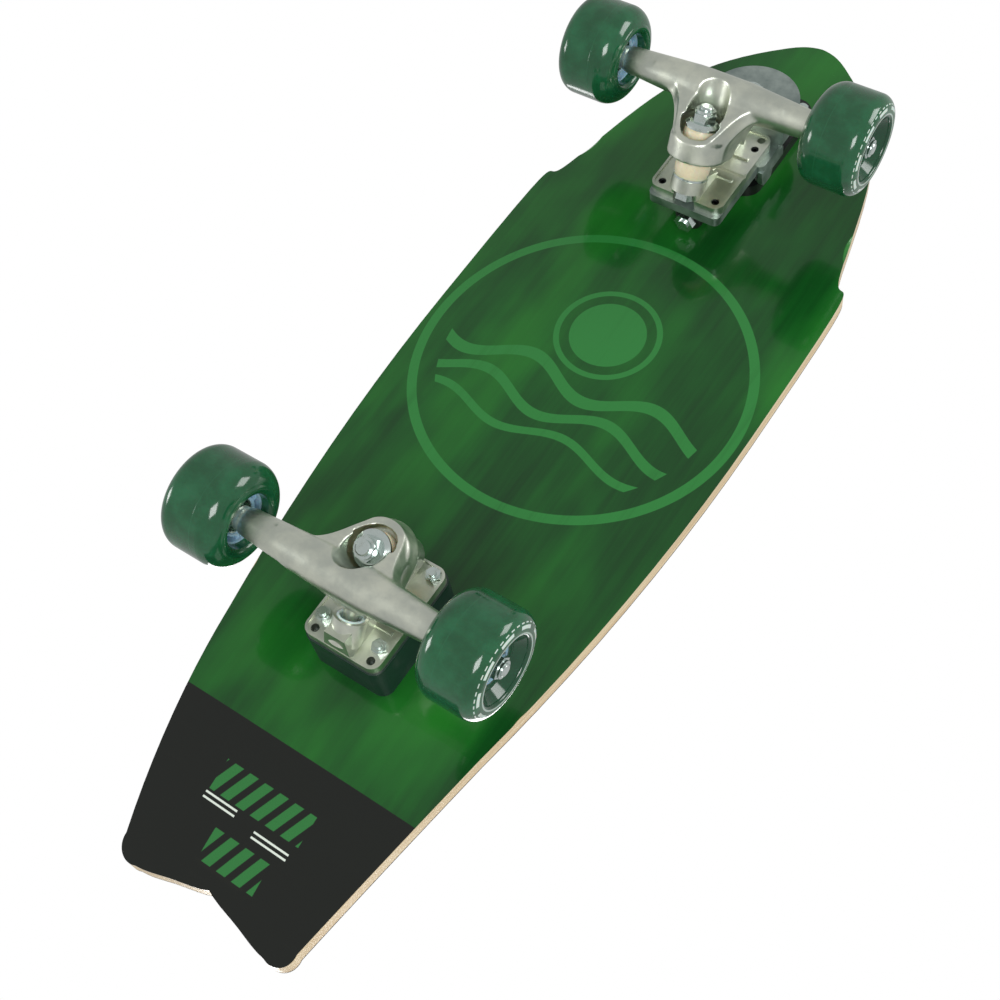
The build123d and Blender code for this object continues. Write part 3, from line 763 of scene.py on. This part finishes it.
FINISHES: dict[Slot, Finish] = {
    Slot.VENEER: StainedVeneer(),
    Slot.MAPLE: LaminatedMaple(Slot.MAPLE),
    Slot.TOP: LaminatedMaple(Slot.TOP, stained_and_sheen_wells=False),
    Slot.GRIP: GritTape(),
    Slot.CAST: CastMetal(Slot.CAST, tint(228, 232, 216), tint(204, 210, 198)),
    Slot.ARM: CastMetal(Slot.ARM, tint(178, 190, 184), tint(138, 152, 148), roughness=(0.38, 0.52)),
    Slot.BLACK_CASTING: CastMetal(Slot.BLACK_CASTING, tint(34, 38, 36), tint(20, 22, 22), metallic=0.3),
    Slot.RISER: Moulded(Slot.RISER, tint(24, 46, 40), tint(54, 66, 60), (0.3, 0.46)),
    Slot.ZINC: TurnedMetal(Slot.ZINC, tint(212, 224, 220), tint(190, 200, 192)),
    Slot.BLACK_STEEL: TurnedMetal(Slot.BLACK_STEEL, tint(42, 44, 46), tint(24, 24, 24), (0.3, 0.45)),
    Slot.SPRING: TurnedMetal(Slot.SPRING, tint(150, 154, 156), tint(96, 90, 80), (0.2, 0.36)),
    Slot.BRONZE: TurnedMetal(Slot.BRONZE, tint(196, 148, 88), tint(128, 88, 46), (0.22, 0.4)),
    Slot.BUSHING: Moulded(Slot.BUSHING, tint(232, 222, 190), tint(180, 164, 124), (0.26, 0.42), 0.3),
    Slot.CUP: Moulded(Slot.CUP, tint(214, 232, 230), tint(150, 164, 160), (0.26, 0.4), 0.2),
    Slot.WHEEL: WheelUrethane(),
    Slot.CORE: Moulded(Slot.CORE, tint(158, 194, 216), tint(104, 128, 142), (0.26, 0.4), 0.15),
    Slot.ROLLER: Moulded(Slot.ROLLER, tint(24, 25, 25), tint(58, 56, 52), (0.3, 0.5)),
}


# ---------------------------------------------------------------- sub-assemblies


class Workshop:
    """Holds the frame and the finished materials, and dresses nodes and pieces."""

    def __init__(self, frame: dict) -> None:
        """Build each finish once.

        Args:
            frame: The loaded frame.
        """
        self.frame = frame
        self.materials = {slot: finish.build() for slot, finish in FINISHES.items()}
        self.slots = {part["node"]: Slot(part["material_slot"]) for part in frame["record"]["subparts"]}

    def dress(self, *nodes: str) -> None:
        """Give CAD nodes the finish of their slot.

        Args:
            nodes: Node names.
        """
        for name in nodes:
            mesh = self.frame["nodes"][name].data
            mesh.materials.clear()
            mesh.materials.append(self.materials[self.slots[name]])

    def keep(self, name: str, work: bmesh.types.BMesh, slot: Slot, body: str, smooth: bool = True) -> bpy.types.Object:
        """Turn a bmesh into a piece that rides on a body.

        Args:
            name: The piece's name.
            work: Its shape, which is freed.
            slot: Its finish.
            body: The body it rides on.
            smooth: Whether its faces are shaded smooth.

        Returns:
            The piece.
        """
        mesh = bpy.data.meshes.new(name)
        work.to_mesh(mesh)
        work.free()
        for polygon in mesh.polygons:
            polygon.use_smooth = smooth
        mesh.materials.append(self.materials[slot])
        piece = bpy.data.objects.new(name, mesh)
        bpy.context.scene.collection.objects.link(piece)
        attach(piece, body)
        return piece


@dataclass
class Deck:
    """The laminated deck, its grip and the riser."""

    nodes: tuple[str, ...] = ("deck_bottom_veneer", "deck_core", "deck_top_veneer", "grip_tape", "rear_riser")

    def build(self, shop: Workshop) -> None:
        """Dress the deck.

        Args:
            shop: Where finishes come from.
        """
        shop.dress(*self.nodes)
        log.info("deck: %d nodes", len(self.nodes))


@dataclass
class Truck:
    """One truck: a smooth casting round the hanger, and its plate, bushings and hardware."""

    end: str
    voxel: float = 0.0007
    passes: int = 10

    def hanger(self, shop: Workshop) -> None:
        """Replace the hanger's crisp edges by the soft blends of a casting.

        Args:
            shop: Where finishes come from.
        """
        node = f"{self.end}_hanger"
        source = shop.frame["nodes"][node]
        work = bmesh.new()
        work.from_mesh(source.data)
        bmesh.ops.remove_doubles(work, verts=work.verts, dist=1e-6)
        mesh = bpy.data.meshes.new(f"{node}_rough")
        work.to_mesh(mesh)
        work.free()
        rough = bpy.data.objects.new(mesh.name, mesh)
        bpy.context.scene.collection.objects.link(rough)
        remesh = rough.modifiers.new("skin", "REMESH")
        remesh.mode = "VOXEL"
        remesh.voxel_size = self.voxel
        bpy.context.view_layer.update()
        skin = bpy.data.meshes.new_from_object(rough.evaluated_get(bpy.context.evaluated_depsgraph_get()))
        bpy.data.objects.remove(rough)
        work = bmesh.new()
        work.from_mesh(skin)
        for _ in range(self.passes):
            bmesh.ops.smooth_vert(
                work, verts=work.verts, factor=0.5, use_axis_x=True, use_axis_y=True, use_axis_z=True
            )
        bmesh.ops.recalc_face_normals(work, faces=work.faces)
        piece = shop.keep(f"{node}_casting", work, Slot.CAST, f"{self.end}_hanger")
        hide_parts(node)
        log.info("%s: %d faces", piece.name, len(piece.data.polygons))

    def build(self, shop: Workshop) -> None:
        """Dress the truck's nodes and make its casting.

        Args:
            shop: Where finishes come from.
        """
        nodes = [
            f"{self.end}_{part}"
            for part in (
                "baseplate", "pivot_cup", "hanger", "kingpin", "kingpin_nut", "kingpin_washers",
                "boardside_bushing", "roadside_bushing", "axle", "axle_nuts", "speed_washers",
                "bearing_inner_rings", "bearing_spacers",
            )
        ]
        shop.dress(*nodes)
        self.hanger(shop)
        log.info("%s truck: %d nodes", self.end, len(nodes))


@dataclass
class Wheel:
    """One wheel: tyre, core, bearings and the bearings' shields."""

    end: str
    side: str
    axle_y: float
    axle_z: float = 0.0335
    inner_face: float = 0.0776
    outer_face: float = 0.1011
    shield_in: float = 0.0063
    shield_out: float = 0.0098
    thickness: float = 0.0003
    steps: int = 48

    @property
    def name(self) -> str:
        """The wheel's name."""
        return f"{self.end}_{self.side}"

    def shield(self, shop: Workshop, label: str, x: float) -> None:
        """Make one pressed shield with a shallow groove.

        Args:
            shop: Where finishes come from.
            label: Which shield.
            x: Its place along the axle, from the centre line.
        """
        sign = 1.0 if self.side == "left" else -1.0
        work = bmesh.new()
        middle = (self.shield_in + self.shield_out) / 2
        deep = self.thickness
        outline = [
            (x - deep, self.shield_in), (x + deep, self.shield_in), (x + deep, middle - 0.0006), (x, middle),
            (x + deep, middle + 0.0006), (x + deep, self.shield_out), (x - deep, self.shield_out),
        ]
        corners = [work.verts.new((sign * out, self.axle_y, self.axle_z + radius)) for out, radius in outline]
        for first, second in zip(corners, corners[1:] + corners[:1]):
            work.edges.new((first, second))
        bmesh.ops.spin(
            work, geom=work.verts[:] + work.edges[:], cent=(0.0, self.axle_y, self.axle_z), axis=(1.0, 0.0, 0.0),
            dvec=(0.0, 0.0, 0.0), angle=2 * math.pi, steps=self.steps, use_merge=True, use_duplicate=False,
        )
        bmesh.ops.remove_doubles(work, verts=work.verts, dist=1e-7)
        bmesh.ops.recalc_face_normals(work, faces=work.faces)
        shop.keep(f"{self.name}_{label}_shield", work, Slot.ZINC, f"{self.name}_wheel", smooth=False)

    def build(self, shop: Workshop) -> None:
        """Dress the wheel.

        Args:
            shop: Where finishes come from.
        """
        shop.dress(f"{self.name}_tyre", f"{self.name}_wheel_core", f"{self.name}_bearings")
        self.shield(shop, "inner", self.inner_face)
        self.shield(shop, "outer", self.outer_face)
        log.info("%s wheel", self.name)


@dataclass
class SwingAdapter:
    """The swinging arm under the front truck and what holds it."""

    nodes: tuple[str, ...] = (
        "adapter_base", "swing_arm", "swing_arm_sleeve", "swing_pivot_bolt", "swing_pivot_nut",
        "swing_pivot_washer", "swing_thrust_bearing", "return_springs", "front_truck_screws",
        "support_roller", "support_roller_bolt",
    )

    def build(self, shop: Workshop) -> None:
        """Dress the adapter.

        Args:
            shop: Where finishes come from.
        """
        shop.dress(*self.nodes)
        log.info("swing adapter: %d nodes", len(self.nodes))


@dataclass
class DeckFasteners:
    """The bolts and nuts through the deck."""

    nodes: tuple[str, ...] = (
        "front_deck_bolts", "front_deck_locknuts", "rear_deck_bolts", "rear_deck_locknuts",
    )

    def build(self, shop: Workshop) -> None:
        """Dress the fasteners.

        Args:
            shop: Where finishes come from.
        """
        shop.dress(*self.nodes)
        log.info("fasteners: %d nodes", len(self.nodes))


# ---------------------------------------------------------------- studio


@dataclass(frozen=True)
class Lamp:
    """A soft square lamp: where it stands, the side of its square, and its power in watts."""

    name: str
    place: tuple[float, float, float]
    size: float
    watts: float


@dataclass(frozen=True)
class Studio:
    """Pale floor, soft light and the main camera."""

    lens: float = 51.53
    position: tuple[float, float, float] = (0.3488, 0.4013, -0.6535)
    right: tuple[float, float, float] = (0.821, -0.558, 0.122)
    down: tuple[float, float, float] = (0.432, 0.746, 0.507)
    fill: float = 0.52
    floor_half: float = 6.0
    aim: tuple[float, float, float] = (0.0, 0.0, 0.1)
    lamps: tuple[Lamp, ...] = (
        Lamp("key", (1.1, 1.2, -1.5), 0.9, 24),
        Lamp("window", (-1.5, 0.9, -0.35), 0.5, 7),
        Lamp("top", (-0.3, 0.2, 2.2), 1.4, 26),
        Lamp("side", (1.1, -1.0, -0.5), 0.7, 9),
    )

    def camera(self) -> None:
        """Place the camera at the view from below."""
        data = bpy.data.cameras.new("main_camera")
        data.lens = self.lens
        data.sensor_width = 36.0
        data.clip_start = 0.01
        camera = bpy.data.objects.new("main_camera", data)
        x_axis = Vector(self.right).normalized()
        y_axis = -Vector(self.down)
        y_axis = (y_axis - x_axis * y_axis.dot(x_axis)).normalized()
        z_axis = x_axis.cross(y_axis)
        turn = Matrix((x_axis, y_axis, z_axis)).transposed().to_4x4()
        camera.matrix_world = Matrix.Translation(self.position) @ turn
        bpy.context.scene.collection.objects.link(camera)
        bpy.context.scene.camera = camera

    def world(self) -> None:
        """Pale even surroundings."""
        world = bpy.data.worlds.new("surroundings")
        world.use_nodes = True
        background = world.node_tree.nodes["Background"]
        background.inputs[0].default_value = (1.0, 1.0, 1.0, 1.0)
        tree = world.node_tree
        seen = tree.nodes.new("ShaderNodeLightPath")
        level = tree.nodes.new("ShaderNodeMapRange")
        level.inputs["To Min"].default_value = self.fill
        level.inputs["To Max"].default_value = 1.0
        tree.links.new(seen.outputs["Is Camera Ray"], level.inputs["Value"])
        tree.links.new(level.outputs[0], background.inputs[1])
        bpy.context.scene.world = world
        bpy.context.scene.view_settings.view_transform = "Standard"

    def light(self, lamp: Lamp) -> None:
        """Add a lamp that points at the aim.

        Args:
            lamp: The lamp.
        """
        data = bpy.data.lights.new(lamp.name, "AREA")
        data.size = lamp.size
        data.energy = lamp.watts
        stand = bpy.data.objects.new(lamp.name, data)
        stand.location = lamp.place
        stand.rotation_euler = (Vector(self.aim) - Vector(lamp.place)).to_track_quat("-Z", "Y").to_euler()
        bpy.context.scene.collection.objects.link(stand)

    def floor(self) -> None:
        """A pale floor that can't be seen from below."""
        mesh = bpy.data.meshes.new("floor")
        work = bmesh.new()
        bmesh.ops.create_grid(work, x_segments=1, y_segments=1, size=self.floor_half)
        work.to_mesh(mesh)
        work.free()
        floor = bpy.data.objects.new("floor", mesh)
        bpy.context.scene.collection.objects.link(floor)
        graph = Graph("floor")
        graph.set(Base_Color=(0.82, 0.82, 0.81), Roughness=0.9)
        clear = graph.node("ShaderNodeBsdfTransparent")
        back = graph.node("ShaderNodeNewGeometry", result="Backfacing")
        shader = Value(graph, graph.shader.outputs[0])
        mixed = graph.node("ShaderNodeMixShader", inputs={0: back, 1: shader, 2: clear})
        graph.tree.links.new(mixed.socket, graph.output.inputs[0])
        mesh.materials.append(graph.material)
        for ray in ("diffuse", "glossy", "transmission", "shadow"):
            setattr(floor, f"visible_{ray}", False)

    def build(self) -> None:
        """Make the studio."""
        self.camera()
        self.world()
        self.floor()
        for lamp in self.lamps:
            self.light(lamp)


def main() -> None:
    """Build the looks."""
    logging.basicConfig(level=logging.INFO, format="%(name)s: %(message)s")
    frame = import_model()
    shop = Workshop(frame)
    Studio().build()
    Deck().build(shop)
    DeckFasteners().build(shop)
    SwingAdapter().build(shop)
    for end, axle_y in (("front", WheelUrethane.front_axle), ("rear", WheelUrethane.rear_axle)):
        Truck(end).build(shop)
        for side in ("left", "right"):
            Wheel(end, side, axle_y).build(shop)


if __name__ == "__main__":
    main()
